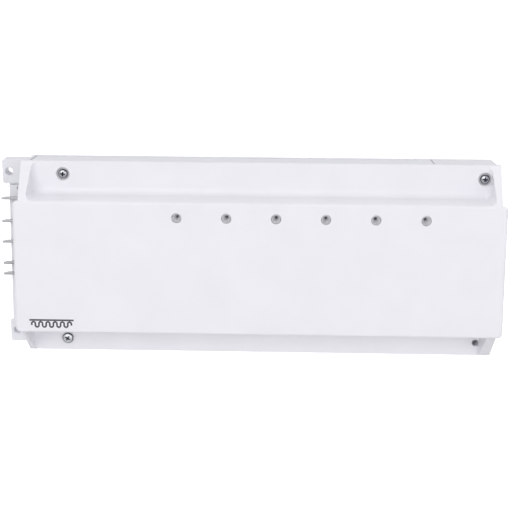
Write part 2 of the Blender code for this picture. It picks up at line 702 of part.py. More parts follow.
def make_controls(shop):
    """The output selector switch and the pairing button, both worked with the cover off."""
    body = board_part(shop, "selector_switch", "steel", (94, SEAT, -2), (103, SEAT + 4.5, 3))
    slot = Shape().box((95.7, -SEAT - 6, -0.6), (101.3, -SEAT - 2.2, 1.6))
    shop.cut(body, slot, "slot", shop.board)
    knob = Shape().box((96.1, -SEAT - 8, -0.2), (98.6, -SEAT - 2.6, 1.2))
    shop.part("selector_knob", knob, "black", shop.board)
    base = board_part(shop, "pairing_switch", "black", (57, SEAT, -3), (63, SEAT + 3.6, 3))
    well = Shape().cylinder((60, -SEAT - 3.6, 0), "y", 2.1, 4, 14)
    shop.cut(base, well, "well", shop.board)
    cap = Shape().cylinder((60, -SEAT - 5.4, 0), "y", 1.75, 6, 14)
    shop.part("pairing_button", cap, "catch", shop.board)


# ---------------------------------------------------------------- rail catches

def make_catches(shop):
    for side, x in zip(("left", "right"), CATCH_X):
        outline = [(-1.0, -43.2), (-1.0, CATCH_BOTTOM), (-RAIL_LIP_DEPTH, CATCH_BOTTOM),
                   (-RAIL_LIP_DEPTH, CATCH_TOP), (-4.0, CATCH_TOP)]
        shape = Shape().prism(outline, x - CATCH_HALF_WIDTH, x + CATCH_HALF_WIDTH)
        catch = shop.part(f"rail_catch_{side}", shape, "catch", origin=(x, -4, -45))
        flanges = Shape().box((x - CATCH_FLANGE_HALF_WIDTH, -RAIL_LIP_DEPTH, CATCH_BOTTOM + 1.0),
                              (x + CATCH_FLANGE_HALF_WIDTH, -4.2 - GAP, -42.6))
        shop.add(catch, flanges, "flanges")
        slot = Shape().box((x - 2.2, -8, -49.2), (x + 2.2, 1, -47.6))
        shop.cut(catch, slot, "tool_slot")


def main():
    clear_scene()
    shop = Workshop()
    make_housing(shop)
    make_strip(shop, "top_entry_strip", 1, TOP_STRIP_BACK)
    make_strip(shop, "bottom_entry_strip", -1, BOTTOM_STRIP_BACK)
    make_cover(shop)
    make_cover_screws(shop)
    make_board(shop)
    make_terminals(shop)
    make_power_section(shop)
    make_zone_parts(shop)
    make_light_guide(shop)
    make_bus(shop)
    make_controls(shop)
    make_catches(shop)


main()
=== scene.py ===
"""Looks of the underfloor heating wiring centre.

It holds the finer shells, the small trim, the procedural finishes, the studio and the camera.

Shapes are built in millimetres in the CAD frame (+X right, +Y into the wall, +Z up) and are scaled
to metres when they are placed. Parts on the circuit board are built square to it and then leaned.
"""
from contextlib import contextmanager
from math import atan2, cos, pi, radians, sin

import bmesh
import bpy
from mathutils import Matrix, Vector


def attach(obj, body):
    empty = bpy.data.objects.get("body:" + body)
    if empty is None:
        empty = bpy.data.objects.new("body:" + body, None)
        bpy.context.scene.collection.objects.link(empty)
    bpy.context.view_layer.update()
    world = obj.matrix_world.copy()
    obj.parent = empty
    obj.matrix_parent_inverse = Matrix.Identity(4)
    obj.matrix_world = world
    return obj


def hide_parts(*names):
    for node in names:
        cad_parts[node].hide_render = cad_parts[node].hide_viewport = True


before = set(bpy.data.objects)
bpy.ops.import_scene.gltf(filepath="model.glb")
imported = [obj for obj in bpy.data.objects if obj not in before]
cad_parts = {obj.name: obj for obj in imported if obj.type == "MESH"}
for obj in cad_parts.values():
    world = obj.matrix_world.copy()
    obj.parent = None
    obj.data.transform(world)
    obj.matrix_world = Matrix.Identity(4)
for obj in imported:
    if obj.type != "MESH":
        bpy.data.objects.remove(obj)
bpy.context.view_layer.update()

MM = 0.001
GAP = 0.3

# Housing
HALF_WIDTH, RIM_DEPTH, WALL = 124.6, 20.9, 2.2
BACK_HALF_HEIGHT, RIM_HALF_HEIGHT = 51.3, 52.0
SIDE_INNER, TOP_INNER = HALF_WIDTH - WALL, BACK_HALF_HEIGHT - WALL + 0.6
EAR_LEFT, EAR_THICKNESS, EAR_HALF_HEIGHT = -139.0, 8.2, 6.5
EAR_HOLE_X, EAR_HOLE_RADIUS, EAR_HEIGHTS = -135.3, 2.1, (43.3, -46.7)
INNER_HOLE_X = 100.0
FLANGE_LEFT, FLANGE_FACE, FLANGE_TOP, FLANGE_BOTTOM = -135.7, 11.2, 37.0, -40.2
RAIL_Z, RAIL_HALF, RAIL_DEPTH, RAIL_LIP_DEPTH = -24.0, 17.8, 7.7, 6.5
CATCH_X, CATCH_HALF_WIDTH, CATCH_FLANGE_HALF_WIDTH = (-70.0, 70.0), 6.2, 8.2
STRIP_X, STRIP_SINK, STRIP_THICKNESS = (-121.0, 91.0), 0.45, 1.7
STRIP_BACK = {1: 3.3, -1: 9.2}         # the lower strip clears the rail catches
KNOCKOUTS, KNOCKOUT_WIDTH, KNOCKOUT_MARGIN, KNOCKOUT_MEMBRANE = 16, 8.4, 2.0, 0.6

# Cover
COVER_HALF_WIDTH, COVER_HALF_HEIGHT = 125.1, 52.2
LEDGE_DEPTH, LEDGE_THICKNESS, LEDGE_FILLET, SIDE_DRAFT = 23.4, 2.2, 3.5, 0.08
TOP_LEDGE_X, TOP_END_FILLET, TOP_END_LEAN = (-120.4, 121.2), 3.2, 0.07
BOTTOM_LEDGE_X, BOTTOM_END_FILLET = (-122.0, 118.6), 2.0
PANEL_TOP, PANEL_BOTTOM = (42.9, 34.8), (48.8, -33.7)     # depth and height of its edges
PANEL_THICKNESS, PANEL_HALF_WIDTH, PANEL_CORNER, PANEL_EDGE = 2.6, 126.1, 2.2, 1.4
COVER_INNER_X = 120.4
TILT = atan2(PANEL_BOTTOM[0] - PANEL_TOP[0], PANEL_TOP[1] - PANEL_BOTTOM[1])

# Cover screws: x and z of each, and of the hole that has lost its screw
SUNK_SCREWS = {"cover_screw_top_left": (-103.3, 45.3), "cover_screw_top_right": (116.9, 44.7)}
PROUD_SCREWS = {"cover_screw_bottom_left": (-103.9, -45.3)}
EMPTY_HOLE = (116.9, -45.2)
SCREW_HOLES = (*SUNK_SCREWS.values(), *PROUD_SCREWS.values(), EMPTY_HOLE)
SCREW_HOLE_RADIUS, PILOT_RADIUS, SCREW_SHANK_RADIUS, SCREW_LENGTH = 1.8, 1.15, 1.45, 14.5
WELL_RADIUS, WELL_DEPTH, BOSS_RADIUS, BOSS_SPLIT_DEPTH = 3.4, 1.6, 3.4, 17.0
SUNK_HEAD_RADIUS, PROUD_HEAD_RADIUS, HEAD_HEIGHT, THREAD_PITCH = 2.5, 2.95, 1.7, 1.1

# Zones, circuit board and bus, measured square to the board
ZONE_X = [-42.0 + 25.4 * zone for zone in range(6)]
LAMP_HEIGHT, LAMP_RADIUS, SLEEVE_RADIUS, SLEEVE_DEPTH = 23.2, 2.5, 3.9, 3.6
GUIDE_TIP_RADIUS, GUIDE_TIP_DEPTH = 2.1, 0.7     # the ends of the light guide in the panel's holes
GUIDE_DIMPLE = (2.05, 0.75, 6.2)        # the dimple's mouth and floor radius, and its depth
GUIDE_BAR = (31, 33)                    # depth of the bar that joins the guide's rods
BOARD_DEPTH = (11.4, 13.0)
BOARD_POSTS = ((-50.0, 26.0), (100.0, 6.0), (-106.0, 29.0), (-50.0, -33.0), (106.0, -33.0))
SEAT = BOARD_DEPTH[1] + GAP
POLE_PITCH, MAINS_PITCH = 5.08, 7.5
CHIPS_OF_A_ZONE = ((-8.2, 10.5), (-5.2, 10.5), (2.2, 10.5), (5.2, 7.0), (-6.6, 4.0), (6.8, -9.5))
CONTROLLER_LEGS = (-31, -29.4, -27.8, -26.2, -24.6, -23.0)
BLADE_DEPTH, BLADE_WIDTH, BLADE_THICKNESS = 13.8, 4.2, 1.2
BLADE_HEIGHTS = (28.3, 15.9, 4.7, -7.0, -12.9)

# Printed sign on the panel: its left end and height above the panel's edge, and its strokes
SIGN_LEFT, SIGN_BASE, SIGN_PEN, SIGN_INK = -117.6, 3.9, 0.9, 0.02
PIPE_LEGS, PIPE_LOOP, PIPE_STRAIGHT = 12, 0.94, 0.9

# Studio, in metres: the floor's height, its glow and the Y range over which the glow rises
FLOOR_Z, FLOOR_RADIUS, FLOOR_GLOW, FLOOR_GLOW_Y = -0.45, 13.0, (0.0, 0.9), (0.25, 0.5)
SKY = (1.04, 0.40)                      # strength at the horizon and high up
LENS, SENSOR = 79.4, 36.0               # millimetres
CAMERA_SPOT = (0.01226, -0.59714, 0.16105)
CAMERA_PITCH, CAMERA_YAW, CAMERA_ROLL = radians(-15.385), radians(1.510), radians(0.320)

ROUND = 48                              # facets of a round hole or boss
SMOOTH_ANGLE = radians(32)


# ---------------------------------------------------------------- shapes

class Shape:
    """Gathers primitive solids, in millimetres, into one mesh."""

    TURNS = {"x": Matrix.Rotation(pi / 2, 4, "Y"), "y": Matrix.Rotation(pi / 2, 4, "X"),
             "z": Matrix.Identity(4)}

    def __init__(self):
        self.mesh = bmesh.new()

    def box(self, low, high):
        size = [top - bottom for bottom, top in zip(low, high)]
        middle = [(top + bottom) / 2 for bottom, top in zip(low, high)]
        place = Matrix.Translation(middle) @ Matrix.Diagonal((*size, 1.0))
        bmesh.ops.create_cube(self.mesh, size=1.0, matrix=place)
        return self

    def cylinder(self, centre, axis, radius, length, segments=ROUND):
        place = Matrix.Translation(centre) @ self.TURNS[axis]
        bmesh.ops.create_cone(self.mesh, cap_ends=True, segments=segments, radius1=radius,
                              radius2=radius, depth=length, matrix=place)
        return self

    def prism(self, outline, left, right):
        """Extrudes an outline of (y, z) points along X."""
        corners = [self.mesh.verts.new((left, y, z)) for y, z in outline]
        grown = bmesh.ops.extrude_face_region(self.mesh, geom=[self.mesh.faces.new(corners)])
        moved = [item for item in grown["geom"] if isinstance(item, bmesh.types.BMVert)]
        bmesh.ops.translate(self.mesh, verts=moved, vec=(right - left, 0, 0))
        return self

    def turned(self, profile, centre, segments=ROUND):
        """A profile of (radius, distance in front of centre) turned about an axis along Y."""
        points = [self.mesh.verts.new((radius, -front, 0)) for radius, front in profile]
        edges = [self.mesh.edges.new(pair) for pair in zip(points, points[1:])]
        bmesh.ops.spin(self.mesh, geom=points + edges, axis=(0, 1, 0), cent=(0, 0, 0),
                       angle=2 * pi, steps=segments, use_merge=True)
        bmesh.ops.remove_doubles(self.mesh, verts=self.mesh.verts, dist=1e-4)
        bmesh.ops.translate(self.mesh, verts=self.mesh.verts, vec=centre)
        return self

    def round_edges(self, wanted, radius, segments=4):
        """Rounds the edges for which wanted(start, end) is true."""
        edges = [edge for edge in self.mesh.edges
                 if wanted(edge.verts[0].co, edge.verts[1].co)]
        bmesh.ops.bevel(self.mesh, geom=edges, offset=radius, segments=segments,
                        profile=0.5, affect="EDGES", clamp_overlap=True)
        return self

    def reshape(self, move):
        for vertex in self.mesh.verts:
            vertex.co = move(vertex.co)
        return self

    def leaned(self):
        """Turns a shape that was built square to the circuit board into the CAD frame."""
        bmesh.ops.transform(self.mesh, matrix=Matrix.Rotation(-TILT, 4, "X"), verts=self.mesh.verts)
        return self

    def solid(self, name):
        bmesh.ops.recalc_face_normals(self.mesh, faces=self.mesh.faces)
        data = bpy.data.meshes.new(name)
        self.mesh.to_mesh(data)
        self.mesh.free()
        made = bpy.data.objects.new(name, data)
        bpy.context.scene.collection.objects.link(made)
        return made


def merge_into(shape, other):
    """Moves another shape's mesh into this one."""
    data = bpy.data.meshes.new("merge")
    other.mesh.to_mesh(data)
    other.mesh.free()
    shape.mesh.from_mesh(data)
    bpy.data.meshes.remove(data)


@contextmanager
def edited(piece):
    """Lends a piece's mesh for editing, and writes it back."""
    mesh = bmesh.new()
    mesh.from_mesh(piece.data)
    yield mesh
    mesh.to_mesh(piece.data)
    mesh.free()


def in_triangles(piece):
    """Splits a solid's faces, so that each of them is exactly flat."""
    with edited(piece) as mesh:
        bmesh.ops.triangulate(mesh, faces=mesh.faces)


def join(target, operation, tool):
    """Applies a Boolean between two solids, and removes the second."""
    in_triangles(target)
    in_triangles(tool)
    step = target.modifiers.new("step", "BOOLEAN")
    step.operation, step.solver, step.object = operation, "EXACT", tool
    graph = bpy.context.evaluated_depsgraph_get()
    made = bpy.data.meshes.new_from_object(target.evaluated_get(graph), depsgraph=graph)
    target.modifiers.clear()
    old, target.data = target.data, made
    bpy.data.meshes.remove(old)
    bpy.data.objects.remove(tool)
    made.name = target.name


def close_cracks(piece):
    """Removes the slivers that Booleans leave between nearly touching corners."""
    with edited(piece) as mesh:
        bmesh.ops.dissolve_degenerate(mesh, dist=1e-4, edges=mesh.edges)


def add(target, shape):
    """Joins a shape to a solid."""
    join(target, "UNION", shape.solid("tool"))


def cut(target, shape):
    """Cuts a shape out of a solid."""
    join(target, "DIFFERENCE", shape.solid("tool"))


def soften(target, radius, segments=3, limit=30, wanted=None):
    """Rounds a solid's edges that are sharper than limit degrees, or those of them wanted."""
    with edited(target) as mesh:
        bmesh.ops.remove_doubles(mesh, verts=mesh.verts, dist=1e-3)
        bmesh.ops.dissolve_limit(mesh, angle_limit=radians(0.5), verts=mesh.verts,
                                 edges=mesh.edges)
        edges = [edge for edge in mesh.edges
                 if edge.is_manifold and edge.calc_face_angle(0) > radians(limit)
                 and (wanted is None or wanted(edge.verts[0].co, edge.verts[1].co))]
        bmesh.ops.bevel(mesh, geom=edges, offset=radius, segments=segments, profile=0.5,
                        affect="EDGES", clamp_overlap=True, loop_slide=True)


def place(piece, body, finish, slot, *nodes):
    """Scales a finished piece to metres, shades it and hands it to a body."""
    piece.data.transform(Matrix.Scale(MM, 4))
    piece.data.materials.clear()
    piece.data.materials.append(finish)
    piece.data.shade_smooth()
    piece.data.set_sharp_from_angle(angle=SMOOTH_ANGLE)
    normals = piece.modifiers.new("flat_faces_stay_flat", "WEIGHTED_NORMAL")
    normals.keep_sharp = True
    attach(piece, body)
    if nodes:
        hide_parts(*nodes)


def refined(node, edge, limit=40, segments=2):
    """A copy of a CAD node's own shape with its sharp edges rounded."""
    shape = Shape()
    shape.mesh.from_mesh(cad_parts[node].data)
    bmesh.ops.scale(shape.mesh, verts=shape.mesh.verts, vec=(1 / MM, 1 / MM, 1 / MM))
    bmesh.ops.remove_doubles(shape.mesh, verts=shape.mesh.verts, dist=1e-3)
    piece = shape.solid(node + "_body")
    soften(piece, edge, segments, limit)
    return piece


def arc(centre, radius, start, end, steps=12):
    """Points on an arc of a (y, z) outline; the angles are in quarter turns."""
    angles = [(start + (end - start) * step / steps) * pi / 2 for step in range(steps + 1)]
    return [(centre[0] + radius * cos(turn), centre[1] + radius * sin(turn)) for turn in angles]


def hole_profile(radius, edge, front):
    """A round hole's profile, with a broken edge at its mouth, that ends in front of it."""
    return [(0, -12), (radius, -12), (radius, -edge), (radius + edge, 0),
            (radius + edge, front), (0, front)]


def board_to_wall(depth, height):
    """World (y, z) of a point at a depth and height measured along the tilted board."""
    return (-depth * cos(TILT) + height * sin(TILT), depth * sin(TILT) + height * cos(TILT))


def wall_height(depth, sink=0.0):
    """Height of the housing's top wall at a depth."""
    return BACK_HALF_HEIGHT + (RIM_HALF_HEIGHT - BACK_HALF_HEIGHT) * depth / RIM_DEPTH - sink


def on_plane(axis, value):
    """A test for edges whose two ends share one coordinate."""
    return lambda start, end: abs(start[axis] - value) < 1e-3 and abs(end[axis] - value) < 1e-3


def along_y(start, end):
    """Whether an edge runs from back to front."""
    return abs(start.x - end.x) < 1e-3 and abs(start.y - end.y) > 1


# ---------------------------------------------------------------- finishes

def set_range(node, start, end, low, high):
    """Fills in a Map Range node."""
    for name, number in (("From Min", start), ("From Max", end), ("To Min", low), ("To Max", high)):
        node.inputs[name].default_value = number


class Finish:
    """A procedural material around one Principled shader."""

    def __init__(self, name, color, roughness, metallic=0.0, **uniform):
        self.material = bpy.data.materials.new(name)
        self.material.use_nodes = True
        self.tree = self.material.node_tree
        self.shader = self.tree.nodes["Principled BSDF"]
        self.shader.inputs["Base Color"].default_value = (*color, 1.0)
        self.shader.inputs["Roughness"].default_value = roughness
        self.shader.inputs["Metallic"].default_value = metallic
        for socket, value in uniform.items():
            self.shader.inputs[socket.replace("_", " ")].default_value = value
        self.color = color

    def node(self, kind, **settings):
        made = self.tree.nodes.new(kind)
        for name, value in settings.items():
            setattr(made, name, value)
        return made

    def link(self, output, node, socket):
        self.tree.links.new(output, node.inputs[socket])

    def coordinates(self, stretch=(1, 1, 1)):
        source = self.node("ShaderNodeTexCoord")
        mapping = self.node("ShaderNodeMapping")
        mapping.inputs["Scale"].default_value = stretch
        self.link(source.outputs["Object"], mapping, "Vector")
        return mapping.outputs["Vector"]

    def noise(self, size, detail=2.0, stretch=(1, 1, 1)):
        """Soft noise with features of about the given size in millimetres."""
        made = self.node("ShaderNodeTexNoise")
        made.inputs["Scale"].default_value = 1 / (size * MM)
        made.inputs["Detail"].default_value = detail
        self.link(self.coordinates(stretch), made, "Vector")
        return made.outputs["Fac"]

    def spread(self, value, low, high, start=0.3, end=0.7):
        made = self.node("ShaderNodeMapRange")
        set_range(made, start, end, low, high)
        self.link(value, made, "Value")
        return made.outputs["Result"]

    def tone(self, factor, other):
        """Mixes the base colour with another one."""
        mix = self.node("ShaderNodeMix", data_type="RGBA")
        mix.inputs["A"].default_value = (*self.color, 1.0)
        mix.inputs["B"].default_value = (*other, 1.0)
        self.link(factor, mix, "Factor")
        self.link(mix.outputs["Result"], self.shader, "Base Color")
        return self

    def paint_shade_behind(self, front, back, color):
        """Fades to a dark colour between two depths: painted shade in a recess."""
        split = self.node("ShaderNodeSeparateXYZ")
        self.link(self.coordinates(), split, "Vector")
        mix = self.node("ShaderNodeMix", data_type="RGBA")
        self.link(self.shader.inputs["Base Color"].links[0].from_socket, mix, "A")
        mix.inputs["B"].default_value = (*color, 1.0)
        self.link(self.spread(split.outputs["Y"], 0.0, 1.0, -front * MM, -back * MM), mix, "Factor")
        self.link(mix.outputs["Result"], self.shader, "Base Color")
        return self

    def rough(self, factor):
        self.link(factor, self.shader, "Roughness")
        return self

    def bump(self, height, depth, strength=1.0):
        """Relief of the given depth in millimetres."""
        made = self.node("ShaderNodeBump")
        made.inputs["Strength"].default_value = strength
        made.inputs["Distance"].default_value = depth * MM
        self.link(height, made, "Height")
        self.link(made.outputs["Normal"], self.shader, "Normal")
        return self


def moulded(name, color, roughness=0.42, grain=0.35, depth=0.012, mottle=0.97):
    """Moulded plastic: fine spark-eroded grain, slow flow mottling and patches of gloss."""
    made = Finish(name, color, roughness)
    made.tone(made.spread(made.noise(22.0, 4.0), 0.0, 1.0), tuple(part * mottle for part in color))
    made.rough(made.spread(made.noise(9.0, 3.0), roughness - 0.05, roughness + 0.06))
    made.bump(made.noise(grain, 3.0), depth, 0.6)
    return made.material


def plated(name, color, roughness, streak=(1, 1, 1), grain=0.5, shade=None):
    """Plated metal with drawing marks along one way and slightly cloudy gloss."""
    made = Finish(name, color, roughness, 1.0)
    made.tone(made.spread(made.noise(2.2, 3.0), 0.0, 1.0), tuple(part * 0.86 for part in color))
    made.rough(made.spread(made.noise(grain, 4.0, streak), roughness - 0.09, roughness + 0.12))
    made.bump(made.noise(grain * 0.5, 2.0, streak), 0.01, 0.5)
    # shade: the two depths between which painted shade darkens the cross recess
    if shade:
        made.paint_shade_behind(*shade, (0.05, 0.05, 0.055))
    return made.material


def laminate(name):
    """Green solder mask with paler copper tracks under it."""
    made = Finish(name, (0.012, 0.11, 0.035), 0.34, Coat_Weight=0.25)
    tracks = made.node("ShaderNodeTexBrick", offset=0.5, squash=0.6, squash_frequency=3)
    tracks.inputs["Scale"].default_value = 1.0
    tracks.inputs["Brick Width"].default_value = 9.0 * MM
    tracks.inputs["Row Height"].default_value = 2.54 * MM
    tracks.inputs["Mortar Size"].default_value = 0.28 * MM
    tracks.inputs["Mortar Smooth"].default_value = 0.15
    turn = made.node("ShaderNodeMapping")
    turn.inputs["Rotation"].default_value = (pi / 2, 0, 0)
    made.link(made.coordinates(), turn, "Vector")
    made.link(turn.outputs["Vector"], tracks, "Vector")
    made.tone(tracks.outputs["Fac"], (0.03, 0.24, 0.08))
    made.bump(tracks.outputs["Fac"], 0.035, 0.8)
    return made.material


def clear(name, color, roughness, transmission, ior, glow=0.0):
    """Clear or frosted plastic; glow is painted light, an emission that makes an unlit piece glow.
    """
    made = Finish(name, color, roughness)
    made.shader.inputs["Emission Color"].default_value = (*color, 1.0)
    made.shader.inputs["Emission Strength"].default_value = glow
    made.shader.inputs["Transmission Weight"].default_value = transmission
    made.shader.inputs["IOR"].default_value = ior
    made.bump(made.noise(0.6, 2.0), 0.01, 0.4)
    return made.material


def make_finishes():
    return {
        "cover": moulded("cover_abs", (0.84, 0.835, 0.875)),
        "housing": moulded("housing_abs", (0.82, 0.82, 0.865), 0.45),
        "strip": moulded("strip_polypropylene", (0.81, 0.81, 0.865), 0.40, 0.5),
        "zinc": plated("zinc_plate", (0.72, 0.74, 0.78), 0.24),
        # the proud screw's cross recess gets painted shade from its shade depths
        "proud_head_recess_shade": plated("proud_screw_zinc_painted_recess_shade", (0.78, 0.80, 0.84), 0.26, shade=(25.1, 24.55)),
        # the sunk screws' zinc is darkened as painted shade of their wells, with painted shade in
        # the cross recess too
        "sunk_head_painted_shade": plated("sunk_screw_zinc_painted_shade", (0.50, 0.51, 0.55), 0.28, shade=(23.5, 23.0)),
        "tin": plated("tin_plate", (0.52, 0.52, 0.54), 0.32, (0.12, 1, 1), 0.8),
        "board": laminate("green_solder_mask"),
        "green": moulded("green_polyamide", (0.05, 0.30, 0.12), 0.46, 0.4, 0.015, 0.85),
        "grey": moulded("grey_polyamide", (0.27, 0.28, 0.30), 0.46, 0.4, 0.015, 0.88),
        "black": moulded("black_compound", (0.022, 0.022, 0.026), 0.42, 0.25, 0.015, 0.7),
        "blue": moulded("blue_case", (0.035, 0.13, 0.38), 0.34, 0.5, 0.01, 0.85),
        "yellow": moulded("film_case", (0.66, 0.46, 0.07), 0.36, 0.6, 0.012, 0.88),
        "acetal": moulded("grey_acetal", (0.46, 0.47, 0.49), 0.36, 0.4, 0.01, 0.92),
        "ink": moulded("pad_print_ink", (0.085, 0.085, 0.10), 0.50, 0.12, 0.006, 0.8),
        # dark discs at the light guide's dimple floors: painted shade
        "dimple_shade": moulded("painted_dimple_shade", (0.20, 0.20, 0.205), 0.5, 0.3, 0.01, 0.7),
        "ceramic": moulded("chip_ceramic", (0.10, 0.095, 0.09), 0.40, 0.2, 0.01, 0.8),
        # the light guide's small glow is painted light: its lamps are unlit
        "lens": clear("frosted_acrylic_painted_glow", (0.74, 0.74, 0.76), 0.45, 0.0, 1.49, 0.05),
        "red": clear("diffused_red_epoxy", (0.55, 0.04, 0.03), 0.22, 0.45, 1.53),
        "glass": clear("fuse_glass", (0.92, 0.95, 0.93), 0.05, 0.95, 1.52),
    }


# ---------------------------------------------------------------- cover

def cover_block():
    """The cover's outer form before its ledges are cut, with drafted sides."""
    outline = [(-LEDGE_DEPTH + LEDGE_THICKNESS, COVER_HALF_HEIGHT),
               (-LEDGE_DEPTH, COVER_HALF_HEIGHT),
               (-PANEL_TOP[0] + 1.0, PANEL_TOP[1] - 0.1),
               (-PANEL_BOTTOM[0] + 1.0, PANEL_BOTTOM[1] + 0.1),
               (-LEDGE_DEPTH, -COVER_HALF_HEIGHT),
               (-LEDGE_DEPTH + LEDGE_THICKNESS, -COVER_HALF_HEIGHT)]

    def draft(point):
        inset = SIDE_DRAFT * (-point.y - (LEDGE_DEPTH - LEDGE_THICKNESS))
        return Vector((point.x - inset if point.x > 0 else point.x + inset, point.y, point.z))

    return Shape().prism(outline, -COVER_HALF_WIDTH, COVER_HALF_WIDTH).reshape(draft)


def ledge_cutter(edge, side, span, end_fillet, lean):
    """Everything in front of a ledge.

    Its inner corner and its ends are filleted, and the ends can lean outwards. The ends' fillets
    are smaller than the inner corner's, because equal ones would leave a broken mesh.
    """
    centre = (-LEDGE_DEPTH - LEDGE_FILLET, side * (abs(edge) + LEDGE_FILLET))
    corner = arc(centre, LEDGE_FILLET, 0, -side)
    outline = [(-LEDGE_DEPTH, side * 60), *corner, (-60, edge), (-60, side * 60)]
    shape = Shape().prism(outline, *span)
    for x in span:
        shape.round_edges(on_plane(0, x), end_fillet, 8)

    def lean_out(point):
        inset = lean * max(0.0, PANEL_TOP[0] + point.y)
        return Vector((point.x - inset if point.x > 0 else point.x + inset, point.y, point.z))

    return shape.reshape(lean_out)


def cover_hollow():
    """The space between the raised walls; the panel plate closes its front."""
    top, bottom = PANEL_TOP[1] - LEDGE_THICKNESS, PANEL_BOTTOM[1] + LEDGE_THICKNESS
    shape = Shape().box((-COVER_INNER_X, -60, bottom), (COVER_INNER_X, -15, top))
    return shape.round_edges(along_y, 1.5, 5)


def panel_span():
    """The panel's depth and its lowest and highest points, along the tilted board."""
    def height(edge):
        return -edge[0] * sin(TILT) + edge[1] * cos(TILT)
    depth = PANEL_TOP[0] * cos(TILT) + PANEL_TOP[1] * sin(TILT)
    return depth, height(PANEL_BOTTOM), height(PANEL_TOP)


def panel_plate():
    """The front plate, with rounded corners and a soft front edge."""
    depth, bottom, top = panel_span()
    back = -depth + PANEL_THICKNESS
    shape = Shape().box((-PANEL_HALF_WIDTH, -depth, bottom), (PANEL_HALF_WIDTH, back, top))
    shape.round_edges(along_y, PANEL_CORNER, 8)
    shape.round_edges(on_plane(1, -depth), PANEL_EDGE, 6)
    shape.round_edges(on_plane(1, back), 0.35, 2)
    return shape.leaned()


def lamp_cylinders(radius, front, back):
    """A cylinder on each lamp's axis, between two depths."""
    shape = Shape()
    for x in ZONE_X:
        shape.cylinder((x, -(front + back) / 2, LAMP_HEIGHT), "y", radius, front - back)
    return shape.leaned()


def lamp_holes(depth):
    """Round holes through the panel, with a small broken edge at its face."""
    shape = Shape()
    profile = hole_profile(LAMP_RADIUS, 0.22, 3)
    for x in ZONE_X:
        merge_into(shape, Shape().turned(profile, (x, -depth, LAMP_HEIGHT)))
    return shape.leaned()


def screw_holes():
    """Bores through the cover; the two upper ones start in wells with a dished wall."""
    shape = Shape()
    plain = hole_profile(SCREW_HOLE_RADIUS, 0.2, 2)
    wall = [(WELL_RADIUS - 0.6 + 1.1 * part / 8, -WELL_DEPTH * (1 - sin(part * pi / 16)))
            for part in range(9)]
    sunk = [(0, -12), (SCREW_HOLE_RADIUS, -12), (SCREW_HOLE_RADIUS, -WELL_DEPTH), *wall,
            (WELL_RADIUS + 0.5, 4), (0, 2)]
    for x, z in SCREW_HOLES:
        profile = sunk if (x, z) in SUNK_SCREWS.values() else plain
        merge_into(shape, Shape().turned(profile, (x, -LEDGE_DEPTH, z)))
    return shape


def screw_cylinders(radius, front, back):
    """A cylinder on each cover screw's axis, between two depths."""
    shape = Shape()
    for x, z in SCREW_HOLES:
        shape.cylinder((x, -(front + back) / 2, z), "y", radius, front - back)
    return shape


def cover_tongues():
    """Bars behind the rim that locate the cover inside the housing."""
    shape = Shape()
    for left, right, bottom, top in ((-97, 111, 46.9, 48.4), (-97, 111, -48.4, -46.9),
                                     (-122.0, -120.8, -41, 41), (120.8, 122.0, -41, 41)):
        shape.box((left, -22.3, bottom), (right, -19.3, top))
    return shape


def cover_ribs():
    """Stiffening ribs inside the panel, clear of the lamp sleeves and of the board's tall parts."""
    depth = panel_span()[0] - PANEL_THICKNESS
    shape = Shape()
    for x in (-98.0, -47.5, 98.5):
        shape.box((x - 0.6, -depth - 0.5, -29.5), (x + 0.6, -depth + 1.6, 27.5))
    return shape.leaned()


def make_panel():
    """The front plate with its lamp sleeves, ribs and holes."""
    depth = panel_span()[0]
    panel = panel_plate().solid("panel")
    add(panel, lamp_cylinders(SLEEVE_RADIUS, depth - 1, depth - SLEEVE_DEPTH))
    add(panel, cover_ribs())
    cut(panel, lamp_holes(depth))
    return panel


def make_cover(finish):
    """The cover; its panel is built apart and joined last, which keeps each step's mesh closed."""
    cover = cover_block().solid("cover_shell")
    cut(cover, ledge_cutter(PANEL_TOP[1], 1, TOP_LEDGE_X, TOP_END_FILLET, TOP_END_LEAN))
    cut(cover, ledge_cutter(PANEL_BOTTOM[1], -1, BOTTOM_LEDGE_X, BOTTOM_END_FILLET, 0.0))
    soften(cover, 0.4, 4)
    cut(cover, cover_hollow())
    add(cover, screw_cylinders(BOSS_RADIUS + 0.2, LEDGE_DEPTH - 1, BOSS_SPLIT_DEPTH))
    add(cover, cover_tongues())
    cut(cover, screw_holes())
    join(cover, "UNION", make_panel())
    close_cracks(cover)
    place(cover, "cover", finish["cover"], "cover_plastic", "front_cover")


# ---------------------------------------------------------------- screws

def cut_cross(head, x, face, z, reach, turn):
    """Cuts a cross recess into a screw head; face is the depth of the head's top."""
    def taper(point):
        scale = 0.5 if point.y > 0 else 1.15
        return Vector((point.x * scale, point.y, point.z * scale))

    depth, half = 1.15, 0.42
    spot = Matrix.Translation((x, -face, z)) @ Matrix.Rotation(radians(turn), 4, "Y")
    for wide, tall in ((reach, half), (half, reach)):
        arm = Shape().box((-wide, -0.6, -tall), (wide, depth, tall)).reshape(taper)
        bmesh.ops.transform(arm.mesh, matrix=spot, verts=arm.mesh.verts)
        cut(head, arm)


